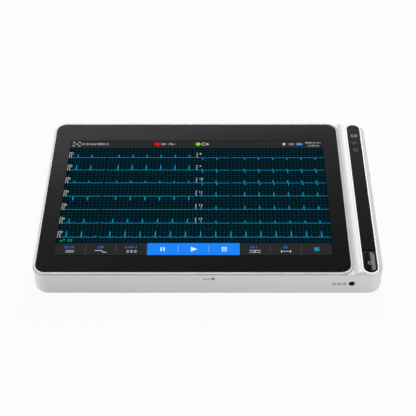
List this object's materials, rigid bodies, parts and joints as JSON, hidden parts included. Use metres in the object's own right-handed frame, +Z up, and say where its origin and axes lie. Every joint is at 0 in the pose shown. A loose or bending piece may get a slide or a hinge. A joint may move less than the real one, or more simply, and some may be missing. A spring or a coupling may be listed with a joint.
{
  "type": "ecg machine",
  "caption": "Flat tablet electrocardiograph with a wide glass display, a raised spine carrying a black indicator strip with a power key, a patient cable socket and a supply inlet.",
  "frame": {"origin": "under the middle of the case, on the surface that the rubber feet stand on", "axes": "+X to the right along the display, +Y to the back, +Z up through the glass"},
  "size_m": [0.2699, 0.178, 0.024],
  "materials": {
    "white_case": "fine satin grain",
    "white_trim": "smooth satin",
    "cover_glass": "polished, black border behind it",
    "display": "lit display",
    "strip_gloss": "polished black",
    "key_gloss": "polished black",
    "foot_rubber": "matt",
    "seal_foam": "matt foam",
    "adhesive": "matt film",
    "sheet_steel": "plain tinned sheet",
    "screw_steel": "zinc plated",
    "standoff_brass": "turned",
    "socket_metal": "satin pale grey",
    "board_green": "solder resist",
    "flex_amber": "polyimide film",
    "black_moulding": "moulded",
    "plunger_plastic": "moulded",
    "battery_wrap": "shrink film",
    "lead_sheath": "insulated wire",
    "light_guide": "clear moulding"
  },
  "bodies": {
    "console": {"main_case": "white_case", "back_cover": "white_case", "display_bezel": "white_trim", "spine_trim": "white_trim", "cover_glass": "cover_glass", "lcd_panel": "display", "indicator_lens": "strip_gloss", "rubber_feet": "foot_rubber", "speaker_gasket": "seal_foam", "battery_pad": "seal_foam", "glass_tape": "adhesive", "lens_tape": "adhesive", "lcd_chassis": "sheet_steel", "processor_shield": "sheet_steel", "wifi_module": "sheet_steel", "ecg_shield": "sheet_steel", "usb_port": "sheet_steel", "case_screws": "screw_steel", "chassis_screws": "screw_steel", "led_screws": "screw_steel", "board_screws": "screw_steel", "board_standoffs": "standoff_brass", "socket_contacts": "standoff_brass", "dc_pin": "standoff_brass", "patient_socket": "socket_metal", "socket_nut": "socket_metal", "main_board": "board_green", "ecg_board": "board_green", "led_board": "board_green", "wifi_antenna": "board_green", "lcd_flex": "flex_amber", "led_flex": "flex_amber", "dc_jack": "black_moulding", "usb_tongue": "black_moulding", "socket_insert": "black_moulding", "power_switch": "black_moulding", "reset_switch": "black_moulding", "speaker": "black_moulding", "battery_plug": "black_moulding", "battery_pack": "battery_wrap", "battery_lead": "lead_sheath", "speaker_lead": "lead_sheath", "antenna_lead": "lead_sheath", "light_guides": "light_guide", "indicator_leds": "light_guide"},
    "power_button": {"power_key": "key_gloss", "power_plunger": "plunger_plastic"},
    "reset_button": {"reset_plunger": "plunger_plastic"}
  },
  "joints": [
    {"name": "power_press", "type": "slide", "parent": "console", "child": "power_button", "axis": [0, 0, -1], "range_m": [0, 0.0005], "stiffness_N_per_m": 3000},
    {"name": "reset_press", "type": "slide", "parent": "console", "child": "reset_button", "axis": [0, 1, 0], "range_m": [0, 0.0003], "stiffness_N_per_m": 2000}
  ]
}
